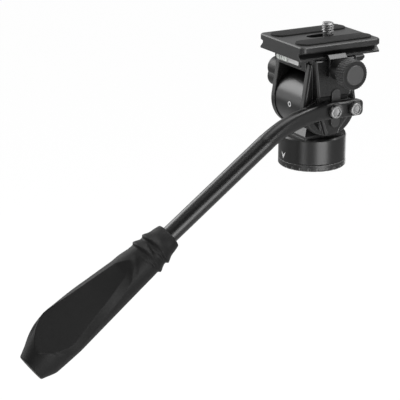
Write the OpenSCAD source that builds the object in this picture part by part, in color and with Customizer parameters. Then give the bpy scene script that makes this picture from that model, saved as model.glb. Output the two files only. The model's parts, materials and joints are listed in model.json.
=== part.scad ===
// Fluid video head with a quick-release clamp and a bent pan handle.
// Millimetres. The origin is the middle of the base's underside, on the pan axis.
// +Z is up, +Y is forward, and +X points along the tilt axis to the handle's side.

/* [Pan base] */
// Radius of the pan base
base_r = 17.65; // [16.5:0.05:22]
// Height of the fixed base ring
ring_h = 3.4; // [2.8:0.1:5]
// Bevel round the foot of the base ring
ring_bevel = 0.6; // [0.2:0.1:1]
// Number of grip notches round the base ring
ring_notches = 24; // [12:1:30]
// Width of a grip notch
notch_w = 1.1; // [0.6:0.1:1.6]
// Depth of a grip notch
notch_d = 0.8; // [0.4:0.1:1.2]
// Height of a grip notch above the underside
notch_h = 1.7; // [1:0.1:2.2]
// Gap between the base ring and the turning housing
seam_gap = 0.35; // [0.2:0.05:0.6]
// Height of the turning pan housing
housing_h = 13.25; // [13:0.05:18]
// Bevel at the top of the pan housing
housing_bevel = 0.9; // [0.4:0.1:2]
// Radius of the tripod thread, 3/8 inch
socket_r = 4.7625; // [3.175:0.0005:4.7625]
// Depth of the tripod thread
socket_depth = 9; // [6:0.5:9]
// Wall of the threaded insert
insert_wall = 1.1; // [0.8:0.1:1.4]
// Radius of the pan axle
pan_axle_r = 7.5; // [7.3:0.1:8]

/* [Tilt drum] */
// Radius of the cheeks' round lower ends
cheek_r = 16; // [15:0.1:18]
// Step from the cheek's rim in to the drum
drum_step = 0.5; // [0.3:0.1:1]
// Width of the tilt drum
drum_w = 24.4; // [22:0.1:28]
// Height of the round cheeks above the pan housing
disc_clear = 1; // [0.6:0.1:2]
// Length of the pedestal under the drum
pedestal_l = 24.8; // [20:0.1:24.8]
// Height of the pedestal's upright foot
pedestal_foot = 1.4; // [1:0.1:2]
// Height of the pedestal's leaning walls
pedestal_rise = 3.9; // [3.5:0.1:5]
// How far the pedestal's walls lean in
pedestal_lean = 2.1; // [1:0.1:2.5]
// Radius of the tilt axle
tilt_axle_r = 4; // [3:0.1:4.5]
// Wall of a tilt bush
tilt_bush_wall = 2; // [1:0.1:2.4]
// Radius of a drum end cap
drum_cap_r = 12; // [11.6:0.1:13]
// Thickness of a drum end cap
drum_cap_t = 3; // [2:0.1:4]
// Radius of the bore inside the drum
drum_bore_r = 10.5; // [9.5:0.1:11]
// Width of the tilt drag rotor
rotor_w = 6; // [4:0.5:8]

/* [Cradle] */
// Running gap between the drum and each cheek
cheek_clear = 0.3; // [0.2:0.05:0.5]
// Thickness of a cheek
cheek_t = 3.5; // [3:0.1:4.5]
// Half width of a cheek at its top
cheek_top_half = 12.6; // [11.6:0.1:14]
// Bevel round a cheek's outer edge
cheek_bevel = 0.7; // [0.3:0.1:1.2]
// Height of the window above the drum
window_h = 3.5; // [2.5:0.1:6]
// Height of the block under the platform
block_h = 4; // [3.6:0.1:6]
// Half length of the block under the platform
block_half = 13.3; // [12.8:0.1:15]
// Thickness of the platform's flange
flange_t = 3; // [3:0.1:4]
// Rear end of the flange, behind the tilt axis
flange_rear = 12; // [11.4:0.1:13]
// Front end of the flange, before the tilt axis
flange_front = 17.6; // [16.6:0.1:19]
// Width of the flange beside the dovetail
flange_ledge = 0.8; // [0.5:0.1:1.5]
// Slope under the flange's front lip
lip_slope = 1.5; // [0.5:0.1:2]
// Bevel of the side panel
panel_bevel = 0.8; // [0.3:0.1:1.2]
// Half width of the side panel at its top
panel_top_half = 11.9; // [10.5:0.1:12]
// Half width of the side panel at its lower edge
panel_low_half = 9.8; // [9:0.1:10.4]
// Height of the side panel's lower edge above the tilt axis
panel_rise = 6; // [5:0.1:8]
// Depth of the scoops beside the panel and the shield
scoop_d = 2.2; // [1:0.1:2.4]
// Thickness of the lower shield
shield_t = 2.6; // [1.6:0.1:3]
// Half width of the shield at its foot
shield_foot_half = 3.8; // [3:0.1:5]

/* [Handle] */
// Height of the handle seat on the shield
seat_t = 1.8; // [1.2:0.1:2.6]
// Width of the pill-shaped axle cover
pill_w = 5.2; // [4.2:0.1:6]
// Length of the pill-shaped axle cover
pill_l = 20; // [16:0.1:21]
// Place of the axle cover, before the tilt axis
pill_y = 0.5; // [0:0.1:0.7]
// Thickness of the arm's flat end
arm_t = 4.6; // [4.2:0.1:6]
// Height of the arm's flat end
arm_h = 8.1; // [7.4:0.1:9]
// Front end of the arm, before the tilt axis
arm_front = 14.3; // [13.4:0.1:16]
// Corner radius of the arm's front end
arm_corner = 2.2; // [1:0.1:3]
// Bevel round the arm's flat end
arm_bevel = 0.6; // [0.3:0.1:0.9]
// Place of the rear bolt, from the tilt axis
bolt_rear = -3.6; // [-4:0.1:-3.2]
// Distance between the two bolts
bolt_pitch = 12; // [10:0.1:12.5]
// Radius of a bolt's head
bolt_head_r = 3.2; // [2.4:0.1:3.3]
// Height that a bolt's head stands proud
bolt_proud = 2.6; // [1.5:0.1:3.5]
// Radius of a bolt's shank
bolt_r = 1.5; // [1.2:0.1:1.8]
// Start of the arm's bend, behind the tilt axis
bend_start = 7.4; // [6.8:0.1:10]
// Radius of the arm's bend
bend_r = 60; // [45:1:75]
// Pitch of the straight handle below level
handle_pitch = 35.6; // [20:0.1:45]
// Radius of the handle tube
tube_r = 4.5; // [4:0.05:5]
// Radius of the bore in the handle tube
tube_bore_r = 3.2; // [2.4:0.1:3.4]
// Length of bare tube between the bend and the grip
tube_bare = 67.6; // [40:0.1:100]

/* [Grip] */
// Length of the grip
grip_l = 92.7; // [86:0.1:120]
// Radius of the grip's front rim
grip_rim_r = 6.6; // [6:0.1:7.4]
// Radius of the grip's collar
collar_r = 7.8; // [7.4:0.1:8.4]
// Distance from the grip's front to its first ring
ring_one = 8.9; // [7.6:0.1:10]
// Distance from the grip's front to its second ring
ring_two = 14.7; // [13.4:0.1:16]
// Height of the collar's rings
ring_rise = 1.1; // [0.5:0.1:1.5]
// Radius of the grip behind the collar
neck_r = 9.1; // [8.4:0.1:9.8]
// Distance from the grip's front to its swell
swell_at = 69.7; // [50:0.1:74]
// Half width of the grip at its swell
swell_half = 10.5; // [9.8:0.1:13]
// Height of the swell above the tube
swell_top = 17.7; // [12:0.1:20]
// Depth of the swell below the tube
swell_low = 11.4; // [9.8:0.1:13]
// Length of the taper at the butt's underside
butt_taper = 7.3; // [5:0.1:10]
// Radius of the grip's butt
butt_r = 7.3; // [6:0.1:8.2]

/* [Clamp] */
// Clamp knob's place along Y
clamp_y = -0.4; // [-1.5:0.1:1.5]
// Depth of the clamp screw below the platform's top
clamp_drop = 5; // [5:0.1:5.6]
// Length of the movable jaw
jaw_l = 10.6; // [10:0.1:13]
// Thickness of the movable jaw
jaw_t = 3.1; // [2.4:0.1:4]
// Height of the jaw below the platform's top
jaw_drop = 8.5; // [8.2:0.1:10]
// Height of the jaws above the platform's top
jaw_rise = 2.5; // [2.4:0.1:3.2]
// Bevel along the jaws' upper edges
jaw_bevel = 1.9; // [1:0.1:2.4]
// Radius of the clamp screw
clamp_screw_r = 3; // [2.5:0.1:3]
// Radius of the clamp knob
knob_r = 7.6; // [6.5:0.1:9]
// Length of the clamp knob's ribbed part
knob_l = 6.2; // [5:0.1:9]
// Length of the knob's hub at the jaw
knob_hub_l = 8.3; // [4:0.1:10]
// Number of ribs round the clamp knob
knob_ribs = 36; // [20:1:40]
// Radius of the knob's cap
knob_cap_r = 5; // [4:0.1:5.6]
// Radius of a jaw guide pin
jaw_pin_r = 0.8; // [0.6:0.05:0.9]
// Distance from the clamp screw to each guide pin
jaw_pin_side = 3.8; // [3.4:0.1:4.1]

/* [Tilt lock] */
// Height of the lock knob above the tilt axis
lock_rise = 9.8; // [9:0.1:10.5]
// Reach of the lock knob's lobes
lock_r = 10.2; // [9:0.1:10.6]
// Number of lobes on the lock knob
lock_lobes = 6; // [5:1:7]
// Radius of a lobe
lobe_r = 5.6; // [5.2:0.1:6.2]
// Length of the lock knob
lock_l = 9; // [7:0.1:12]
// Radius of the lock stud
lock_stud_r = 2.5; // [2:0.1:2.8]
// Thickness of the brake pad
brake_t = 1.8; // [1.2:0.1:2.2]

/* [Quick-release plate] */
// Width of the dovetail at its foot
dovetail_w = 38; // [37:0.1:40]
// Height of the dovetail
dovetail_h = 4; // [3.6:0.1:5]
// Length of the plate
plate_l = 47.8; // [44:0.1:60]
// Width of the plate's slab
plate_w = 41.3; // [39:0.1:46]
// Thickness of the plate's slab
slab_t = 3.4; // [2.6:0.1:5]
// Corner radius of the slab
slab_corner = 2.6; // [1.5:0.1:4]
// Bevel round the slab's edges
slab_bevel = 0.55; // [0.2:0.05:1]
// Middle of the plate along Y
plate_y = 3.2; // [0:0.1:5]
// Width of a rubber strip
strip_w = 10.2; // [7:0.1:11]
// Length of a rubber strip
strip_l = 44.2; // [30:0.1:44.6]
// Distance from the plate's middle forward to a strip's middle
strip_shift = 0.6; // [0:0.1:0.6]
// Height that a rubber strip stands proud
strip_h = 0.7; // [0.3:0.1:1.5]
// Distance from the plate's middle sideways to a strip's middle
strip_x = 11.8; // [9.6:0.1:12.6]
// Width of the camera screw's slot
slot_w = 6.6; // [6.5:0.1:7]
// Length of the camera screw's slot
slot_l = 15.8; // [14:0.1:20]
// Camera screw's place along Y
screw_y = 8; // [6.6:0.1:8.4]
// Radius of the camera screw, 1/4 inch
screw_r = 3.175; // [3.175:0.0005:3.175]
// Height of the camera screw above the slab
screw_out = 6.4; // [5:0.1:8]
// Length of the camera screw's thread
screw_thread_l = 4.6; // [3.5:0.1:4.8]
// Radius of the camera screw's neck
screw_neck_r = 2.5; // [2:0.1:2.8]
// Radius of the camera screw's head
screw_head_r = 5.2; // [4.5:0.1:5.6]

/* [Spirit level] */
// Radius of the level's glass vial
vial_r = 2.4; // [1.8:0.1:2.4]
// Length of the level's glass vial
vial_l = 7.8; // [6:0.1:9]
// Length of the level's pale plate
level_plate_l = 10; // [7:0.1:11]
// Height of the level's pale plate
level_plate_h = 4; // [3:0.1:4.4]
// Radius of the small hole beside the level
level_hole_r = 0.7; // [0.5:0.1:0.9]

/* [Clearances] */
// Radial clearance of a running fit
run_clear = 0.05; // [0.02:0.01:0.08]
// Gap between faces that slide past each other
slide_clear = 0.1; // [0.05:0.01:0.2]
// Gap between parts that never touch
free_clear = 0.3; // [0.25:0.05:0.5]

/* [Hidden] */

// Fineness of true curves and of hulled outlines.
$fn = 72;
hull_fn = 96;

// Heights, stacked up from the underside.
housing_z = ring_h + seam_gap;
housing_top = housing_z + housing_h;
tilt_z = housing_top + disc_clear + cheek_r;
drum_r = cheek_r - drum_step;
block_z = tilt_z + drum_r + window_h;
flange_z = block_z + block_h;
platform_top = flange_z + flange_t;
plate_z = platform_top + slide_clear;
slab_z = plate_z + dovetail_h;
slab_top = slab_z + slab_t;
screw_top = slab_top + screw_out;

// Places along the tilt axis, from the middle outwards.
drum_half = drum_w / 2;
cheek_in = drum_half + cheek_clear;
cheek_out = cheek_in + cheek_t;
dovetail_half = dovetail_w / 2;
panel_x = dovetail_half + flange_ledge;
shield_x = cheek_out + shield_t;
seat_x = shield_x + seat_t;
arm_x = seat_x + arm_t / 2;
jaw_x = panel_x + slide_clear;
jaw_out = jaw_x + jaw_t;
knob_x = jaw_out + knob_hub_l;
clamp_z = platform_top - clamp_drop;
lock_z = tilt_z + lock_rise;

// The handle's bend, an arc in a plane across the tilt axis.
bend_end_y = -bend_start - bend_r * sin(handle_pitch);
bend_end_z = tilt_z - bend_r * (1 - cos(handle_pitch));
tube_stop = 7;
tube_l = tube_bare + grip_l - tube_stop;

// Pan bearing: the drag plate lies on the ring, the drag ring hangs over it.
drag_plate_r = 13.2;
drag_plate_t = 1.2;
drag_ring_r = 13.4;
drag_ring_t = 2.2;
pan_bush_wall = 1.5;
pan_bush_r = pan_axle_r + run_clear + pan_bush_wall;
drag_ring_z = ring_h + drag_plate_t + slide_clear;
bush_z = drag_ring_z + drag_ring_t;
bush_l = 5;
pan_axle_top = bush_z + bush_l + slide_clear;
nut_t = 2;
nut_rim = 0.9;
stub_r = 3;
nut_room = 0.7;
pan_cave_top = pan_axle_top + nut_t + nut_room;

// Cradle screws, in the middle of each cheek's thickness.
cradle_screw_x = (cheek_in + cheek_out) / 2;
cradle_screw_y = 8;
cradle_screw_l = 6;
cradle_screw_r = 1.1;
cradle_head_r = 1.9;
cradle_head_t = 1.4;
cradle_head_sink = 0.2;
cradle_head_z = platform_top - cradle_head_sink - cradle_head_t;

// The right panel runs up past the flange, which steps round it.
panel_drop = 0.5;
panel_end = platform_top - panel_drop;
flange_lap = 0.6;
flange_end = cheek_out + flange_lap;
lip_start = panel_top_half + free_clear;
shield_mid_half = (panel_low_half + shield_foot_half) / 2 + 0.4;

// Handle seat, bolts and axle cover.
bolt_places = [bolt_rear, bolt_rear + bolt_pitch];
bolt_recess = 1;
seat_h = arm_h - 2 * arm_bevel;
seat_l = bolt_pitch + seat_h;
bolt_tip = cheek_out + free_clear;
cover_sink = 0.6;
cover_x = shield_x - cover_sink;

// Brake of the tilt lock.
brake_r = 3;
brake_room = 1.2;
brake_back = cheek_in + brake_t;
lock_gap = 1.4;
lock_x = panel_x + lock_gap;
lock_wall = 3;

// Clamp screw, guide pins and knob cap.
clamp_screw_tip = 3;
jaw_pin_x = 13;
jaw_pin_end = jaw_out - 1;
pin_bore_r = jaw_pin_r + run_clear;
pin_roof = 0.2;
jaw_pin_z = panel_end - panel_bevel - pin_roof - pin_bore_r;
cap_sink = 1.2;
cap_x = knob_x + knob_l - cap_sink;

// Dovetail: an upright lip at its foot, then a slope up to the neck.
dovetail_lip = 0.8;
dovetail_cut = 2.3;
hook_x = dovetail_half + slide_clear;
hook_top = platform_top + jaw_rise;
hook_low = plate_z + dovetail_lip;
hook_step = platform_top + slide_clear / 2;

// Camera screw's slot, and the pocket below it for the washer and head.
slot_mid = screw_y + slot_w / 2 - slot_l / 2;
pocket_room = 0.5;
pocket_w = 2 * (screw_head_r + pocket_room);
pocket_t = 4.2;
washer_t = 0.8;
washer_z = plate_z + pocket_t - slide_clear - washer_t;

// Spirit level in the block's rear face.
vial_x = -12;
vial_inset = 0.4;
vial_y = vial_inset - block_half;
vial_drop = 3.2;
vial_z = platform_top - vial_drop;
level_gap = 0.2;
level_plate_x = vial_x + vial_l + level_gap;
level_sink = 0.6;
level_hole_x = level_plate_x + level_plate_l + 3 * level_hole_r;
level_hole_z = vial_z - level_plate_h / 2;
level_hole_depth = 1.6;

// Colours as the eye sees them.
satin_black = [0.16, 0.16, 0.165];
dark_grey = [0.24, 0.24, 0.245];
rubber_black = [0.12, 0.12, 0.12];
silver = [0.8, 0.8, 0.81];
bronze = [0.72, 0.55, 0.3];
nylon = [0.85, 0.84, 0.8];
pale_grey = [0.7, 0.71, 0.72];
glass = [0.85, 0.93, 0.88];

// Helpers

// A flat shape drawn in Y and Z, carried from x0 to x1.
module along_x(x0, x1) {
    translate([x0, 0, 0])
        rotate([90, 0, 90])
            linear_extrude(x1 - x0) children();
}

// A flat shape drawn in X and Z, carried from y0 to y1.
module along_y(y0, y1) {
    translate([0, y1, 0])
        rotate([90, 0, 0])
            linear_extrude(y1 - y0) children();
}

// A round bar from x0 to x1 at the given y and z.
module bar_x(x0, x1, y, z, r) {
    translate([x0, y, z])
        rotate([0, 90, 0])
            cylinder(h = x1 - x0, r = r);
}

// A flat tube standing on z0.
module ring_z(z0, h, r_out, r_in) {
    translate([0, 0, z0])
        difference() {
            cylinder(h = h, r = r_out);
            translate([0, 0, -1]) cylinder(h = h + 2, r = r_in);
        }
}

// A flat tube along the tilt axis from x0 to x1.
module ring_x(x0, x1, r_out, r_in) {
    difference() {
        bar_x(x0, x1, 0, tilt_z, r_out);
        bar_x(x0 - 1, x1 + 1, 0, tilt_z, r_in);
    }
}

// A rectangle with round corners, about its middle.
module round_rect(w, h, r) {
    square([w - 2 * r, h], center = true);
    square([w, h - 2 * r], center = true);
    for (sx = [-1, 1], sy = [-1, 1])
        translate([sx * (w / 2 - r), sy * (h / 2 - r)]) circle(r);
}

// A slot outline along its first axis, about its middle.
module obround(l, w) {
    square([l - w, w], center = true);
    for (s = [-1, 1])
        translate([s * (l - w) / 2, 0]) circle(w / 2);
}

// A round-cornered slab with a bevel all round its top and its foot.
module bevel_slab(w, l, h, r, c) {
    for (sx = [-1, 1], sy = [-1, 1])
        translate([sx * (w / 2 - r), sy * (l / 2 - r), 0]) {
            cylinder(h = c, r1 = r - c, r2 = r);
            translate([0, 0, c]) cylinder(h = h - 2 * c, r = r);
            translate([0, 0, h - c]) cylinder(h = c, r1 = r, r2 = r - c);
        }
    along_y(-l / 2 + r, l / 2 - r) bevel_section(w, h, c);
    along_x(-w / 2 + r, w / 2 - r) bevel_section(l, h, c);
}

// The bevelled cross-section of such a slab, standing on zero.
module bevel_section(w, h, c) {
    polygon([
        [-w / 2 + c, 0], [w / 2 - c, 0], [w / 2, c], [w / 2, h - c],
        [w / 2 - c, h], [-w / 2 + c, h], [-w / 2, h - c], [-w / 2, c]
    ]);
}

// Skin over a stack of rings that all have the same number of points.
module loft(rings) {
    n = len(rings[0]);
    last = (len(rings) - 1) * n;
    corners = [for (i = [0:len(rings) - 2], j = [0:n - 1]) [i * n + j, i * n + (j + 1) % n]];
    sides = [for (c = corners) each [[c[0], c[1] + n, c[1]], [c[0], c[0] + n, c[1] + n]]];
    near_cap = [for (j = [1:n - 2]) [0, j, j + 1]];
    far_cap = [for (j = [1:n - 2]) [last, last + j + 1, last + j]];
    polyhedron([for (ring = rings) each ring], concat(sides, near_cap, far_cap));
}

// A rounded outline: power 2 is an ellipse and a high power is nearly a rectangle.
function power_point(a, b, q, angle) = [
    a * sign(cos(angle)) * pow(abs(cos(angle)), 2 / q),
    b * sign(sin(angle)) * pow(abs(sin(angle)), 2 / q)
];

// Base

module base_ring() {
    color(dark_grey)
        difference() {
            rotate_extrude()
                polygon([
                    [pan_axle_r, 0], [base_r - ring_bevel, 0],
                    [base_r, ring_bevel], [base_r, ring_h], [pan_axle_r, ring_h]
                ]);
            for (i = [0:ring_notches - 1])
                rotate((i + 0.5) * 360 / ring_notches)
                    translate([base_r - notch_d, -notch_w / 2, -1])
                        cube([notch_d + 1, notch_w, notch_h + 1]);
        }
}

module pan_axle() {
    color(silver)
        difference() {
            union() {
                cylinder(h = pan_axle_top, r = pan_axle_r);
                cylinder(h = pan_axle_top + nut_t, r = stub_r);
            }
            translate([0, 0, -1]) cylinder(h = socket_depth + 1, r = socket_r + insert_wall);
        }
}

module thread_insert() {
    color(bronze) ring_z(0, socket_depth, socket_r + insert_wall, socket_r);
}

module pan_drag_plate() {
    color(silver) ring_z(ring_h, drag_plate_t, drag_plate_r, pan_axle_r);
}

module pan_nut() {
    color(silver) ring_z(pan_axle_top, nut_t, pan_axle_r + nut_rim, stub_r);
}

// Pan body

// The pedestal seen along X or Y: an upright foot with walls that lean in above it.
module pedestal_section(half) {
    foot_top = housing_top + pedestal_foot;
    polygon([
        [-half, housing_top - 1], [half, housing_top - 1], [half, foot_top],
        [half - pedestal_lean, foot_top + pedestal_rise],
        [pedestal_lean - half, foot_top + pedestal_rise], [-half, foot_top]
    ]);
}

module pan_housing() {
    drum_edge = 0.4;
    color(satin_black)
        difference() {
            union() {
                rotate_extrude()
                    polygon([
                        [0, housing_z], [base_r, housing_z], [base_r, housing_top - housing_bevel],
                        [base_r - housing_bevel, housing_top], [0, housing_top]
                    ]);
                intersection() {
                    along_x(-drum_half, drum_half) pedestal_section(pedestal_l / 2);
                    along_y(-pedestal_l / 2, pedestal_l / 2) pedestal_section(drum_half);
                }
                bar_x(-drum_half + drum_edge, drum_half - drum_edge, 0, tilt_z, drum_r);
                for (s = [-1, 1])
                    translate([s * (drum_half - drum_edge), 0, tilt_z])
                        rotate([0, s * 90, 0])
                            cylinder(h = drum_edge, r1 = drum_r, r2 = drum_r - drum_edge);
            }
            translate([0, 0, housing_z - 1])
                cylinder(h = bush_z - housing_z + 1, r = drag_ring_r);
            translate([0, 0, bush_z - 1])
                cylinder(h = pan_cave_top - bush_z + 1, r = pan_bush_r);
            translate([0, 0, pan_cave_top - 1])
                cylinder(h = tilt_z - pan_cave_top, r = stub_r);
            bar_x(-drum_half - 1, drum_half + 1, 0, tilt_z, drum_bore_r);
            for (s = [-1, 1])
                bar_x(s * drum_half - drum_cap_t, s * drum_half + drum_cap_t, 0, tilt_z, drum_cap_r);
        }
}

module pan_bush() {
    color(bronze) ring_z(bush_z, bush_l, pan_bush_r, pan_axle_r + run_clear);
}

module pan_drag_ring() {
    color(nylon) ring_z(drag_ring_z, drag_ring_t, drag_ring_r, pan_bush_r);
}

module drum_cap(side) {
    x = side * (drum_half - drum_cap_t / 2);
    color(dark_grey)
        ring_x(x - drum_cap_t / 2, x + drum_cap_t / 2, drum_cap_r, tilt_axle_r + run_clear + tilt_bush_wall);
}

module drum_cap_left() {
    drum_cap(-1);
}

module drum_cap_right() {
    drum_cap(1);
}

module tilt_bush(side) {
    x = side * (drum_half - drum_cap_t / 2);
    color(bronze)
        ring_x(
            x - drum_cap_t / 2, x + drum_cap_t / 2,
            tilt_axle_r + run_clear + tilt_bush_wall, tilt_axle_r + run_clear
        );
}

module tilt_bush_left() {
    tilt_bush(-1);
}

module tilt_bush_right() {
    tilt_bush(1);
}

module tilt_stator(side) {
    x0 = rotor_w / 2 + free_clear;
    x1 = drum_half - drum_cap_t;
    color(nylon)
        ring_x(min(side * x0, side * x1), max(side * x0, side * x1), drum_bore_r, tilt_axle_r + free_clear);
}

module tilt_stator_left() {
    tilt_stator(-1);
}

module tilt_stator_right() {
    tilt_stator(1);
}

// Cradle

// Outline of a cheek, drawn in by a step: a disc with sides that taper to the top.
module cheek_outline(step) {
    hull() {
        translate([0, tilt_z]) circle(cheek_r - step, $fn = hull_fn);
        translate([-cheek_top_half + step, flange_z - 1]) square([2 * (cheek_top_half - step), 1]);
    }
}

// Outline of the side panel up to its upper end, drawn in by a step.
module panel_outline(step, end) {
    polygon([
        [-panel_low_half + step, tilt_z + panel_rise + step],
        [panel_low_half - step, tilt_z + panel_rise + step],
        [panel_top_half - step, end], [-panel_top_half + step, end]
    ]);
}

// Outline of the shield below the side panel, drawn in by a step.
module shield_outline(step) {
    shield_low = cheek_r - 1.7;
    polygon([
        for (s = [-1, 1], p = s < 0
            ? [[panel_low_half, panel_rise], [shield_mid_half, panel_rise / 2 - shield_low / 2],
               [shield_foot_half, step - shield_low]]
            : [[shield_foot_half, step - shield_low], [shield_mid_half, panel_rise / 2 - shield_low / 2],
               [panel_low_half, panel_rise]])
            [s * (p[0] - step), tilt_z + p[1]]
    ]);
}

// A raised face from x0 to x1 with a bevel round its outer edge.
module raised(x0, x1, bevel) {
    hull() {
        along_x(x0, x1 - bevel) children(0);
        along_x(x0, x1) children(1);
    }
}

// A three-sided cut whose floor slopes down from two corners at the cheek's face to a deep one.
module scoop(first, second, deep) {
    floors = [cheek_out, cheek_out, cheek_out - scoop_d];
    corners = [first, second, deep];
    polyhedron(
        [
            for (i = [0:2]) [floors[i], corners[i][0], corners[i][1]],
            for (c = corners) [cheek_out + 1, c[0], c[1]]
        ],
        [[0, 1, 2], [5, 4, 3], [3, 4, 1, 0], [4, 5, 2, 1], [5, 3, 0, 2]]
    );
}

// The scoops at the front edge of a cheek, beside its panel and its shield.
module scoops() {
    rim = cheek_r - 1.5;
    under = 0.4;
    waist = tilt_z + panel_rise / 4;
    split = 2;
    scoop(
        [rim, waist], [panel_top_half - under, flange_z - split],
        [panel_low_half - under, waist + split]
    );
    scoop(
        [shield_foot_half + split, tilt_z - rim + split], [rim, waist - 2 * split],
        [shield_mid_half - under, waist - 3 * split]
    );
}

// The plate, panel and shield that both cheeks share, on the right side.
module cheek_body(panel_stop, stop_bevel) {
    difference() {
        raised(cheek_in, cheek_out, cheek_bevel) {
            cheek_outline(0);
            cheek_outline(cheek_bevel);
        }
        for (s = [0, 1])
            mirror([0, s, 0]) scoops();
    }
    raised(cheek_in, panel_x, panel_bevel) {
        panel_outline(0, panel_stop);
        panel_outline(panel_bevel, panel_stop - stop_bevel);
    }
    raised(cheek_in, shield_x, panel_bevel) {
        shield_outline(0);
        shield_outline(panel_bevel);
    }
}

// The holes that the cradle screws go into.
module cradle_screw_bores() {
    for (sy = [-1, 1])
        translate([cradle_screw_x, sy * cradle_screw_y, flange_z - cradle_screw_l]) {
            cylinder(h = cradle_screw_l + flange_t, r = cradle_screw_r);
            translate([0, 0, cradle_head_z - flange_z + cradle_screw_l])
                cylinder(h = flange_t, r = cradle_head_r);
        }
}

// The holes that the jaw's guide pins slide in.
module jaw_pin_bores() {
    for (s = [-1, 1])
        bar_x(jaw_pin_x - 1, panel_x + 1, clamp_y + s * jaw_pin_side, jaw_pin_z, pin_bore_r);
}

module cheek_left() {
    color(satin_black)
        mirror([1, 0, 0])
            difference() {
                cheek_body(flange_z, 0);
                bar_x(cheek_in - 1, shield_x + 1, 0, tilt_z, tilt_axle_r);
                bar_x(cheek_in - 1, panel_x + 1, 0, lock_z, lock_stud_r + run_clear);
                bar_x(cheek_in - 1, brake_back + brake_room, 0, lock_z, brake_r + run_clear);
                cradle_screw_bores();
            }
}

module cheek_right() {
    color(satin_black)
        difference() {
            union() {
                cheek_body(panel_end, panel_bevel);
                along_x(shield_x - 1, seat_x)
                    translate([bolt_rear + bolt_pitch / 2, tilt_z]) obround(seat_l, seat_h);
            }
            bar_x(cheek_in - 1, cheek_out, 0, tilt_z, tilt_axle_r);
            bar_x(cheek_in - 1, panel_x + 1, clamp_y, clamp_z, clamp_screw_r + free_clear);
            along_x(cover_x, seat_x + 1)
                translate([pill_y, tilt_z]) rotate(90) obround(pill_l, pill_w);
            for (y = bolt_places)
                bar_x(bolt_tip, seat_x + 1, y, tilt_z, bolt_r);
            translate([cheek_in - 1, -cheek_r, flange_z])
                cube([flange_end - cheek_in + 1, 2 * cheek_r, flange_t]);
            cradle_screw_bores();
            jaw_pin_bores();
        }
}

// Cross-section of a jaw's hook over the dovetail, on the right side, down to its foot.
module hook_section(foot) {
    polygon(concat(foot, [
        [jaw_out, hook_top - jaw_bevel], [jaw_out - jaw_bevel, hook_top],
        [hook_x - (hook_top - hook_low), hook_top], [hook_x, hook_low]
    ]));
}

// Side view of the flange: bevelled edges, and a slope under its front lip.
module flange_section(edge) {
    polygon([
        [-flange_rear, flange_z + edge], [edge - flange_rear, flange_z],
        [flange_front - lip_slope, flange_z], [flange_front, flange_z + lip_slope],
        [flange_front, platform_top - edge], [flange_front - edge, platform_top],
        [edge - flange_rear, platform_top], [-flange_rear, platform_top - edge]
    ]);
}

module platform() {
    flange_edge = 0.4;
    hook_inset = 2;
    color(satin_black)
        difference() {
            union() {
                along_x(-panel_x, panel_x) flange_section(flange_edge);
                translate([-cheek_in, -block_half, block_z])
                    cube([2 * cheek_in, 2 * block_half, block_h + flange_t]);
                mirror([1, 0, 0])
                    along_y(hook_inset - flange_rear, flange_front - hook_inset)
                        hook_section([[hook_x, flange_z], [jaw_out, flange_z]]);
            }
            translate([flange_end, -flange_rear - 1, flange_z - 1])
                cube([panel_x, flange_rear + lip_start + 1, flange_t + 2]);
            along_y(lip_start - 1, flange_front + 1)
                polygon([
                    [panel_x - panel_bevel - 1, platform_top + 1], [panel_x + 1, platform_top + 1],
                    [panel_x + 1, platform_top - panel_bevel - 1]
                ]);
            bar_x(clamp_screw_tip - 1, panel_x + 1, clamp_y, clamp_z, clamp_screw_r + run_clear);
            jaw_pin_bores();
            for (s = [0, 1])
                mirror([s, 0, 0]) cradle_screw_bores();
            bar_x(vial_x, vial_x + vial_l, vial_y, vial_z, vial_r);
            translate([level_plate_x, -block_half - 1, vial_z - level_plate_h / 2])
                cube([level_plate_l, 1 + level_sink, level_plate_h]);
            translate([level_hole_x, level_hole_depth - block_half, level_hole_z])
                rotate([90, 0, 0]) cylinder(h = level_hole_depth + 1, r = level_hole_r);
        }
}

module cradle_screws() {
    color(silver)
        for (sx = [-1, 1], sy = [-1, 1])
            translate([sx * cradle_screw_x, sy * cradle_screw_y, flange_z - cradle_screw_l]) {
                cylinder(h = cradle_head_z - flange_z + cradle_screw_l, r = cradle_screw_r);
                translate([0, 0, cradle_head_z - flange_z + cradle_screw_l])
                    cylinder(h = cradle_head_t, r = cradle_head_r);
            }
}

module tilt_axle() {
    color(silver) bar_x(-shield_x, cheek_out, 0, tilt_z, tilt_axle_r);
}

module tilt_rotor() {
    color(silver) ring_x(-rotor_w / 2, rotor_w / 2, drum_bore_r - free_clear, tilt_axle_r);
}

module axle_cap() {
    cap_r = panel_rise - free_clear;
    cap_t = 1.2;
    color(dark_grey)
        translate([-shield_x, 0, tilt_z])
            rotate([0, -90, 0]) {
                cylinder(h = cap_t / 2, r = cap_r);
                translate([0, 0, cap_t / 2]) cylinder(h = cap_t / 2, r1 = cap_r, r2 = cap_r - cap_t / 2);
            }
}

module axle_cover() {
    color(dark_grey)
        difference() {
            along_x(cover_x, seat_x)
                translate([pill_y, tilt_z]) rotate(90) obround(pill_l, pill_w);
            for (y = bolt_places)
                bar_x(cover_x - 1, seat_x + 1, y, tilt_z, bolt_r + slide_clear);
        }
}

// Handle

// Outline of the arm's flat end, drawn in by a step.
module arm_outline(step) {
    translate([(arm_front - bend_start) / 2, tilt_z])
        round_rect(arm_front + bend_start - 2 * step, arm_h - 2 * step, arm_corner - step);
}

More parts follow.
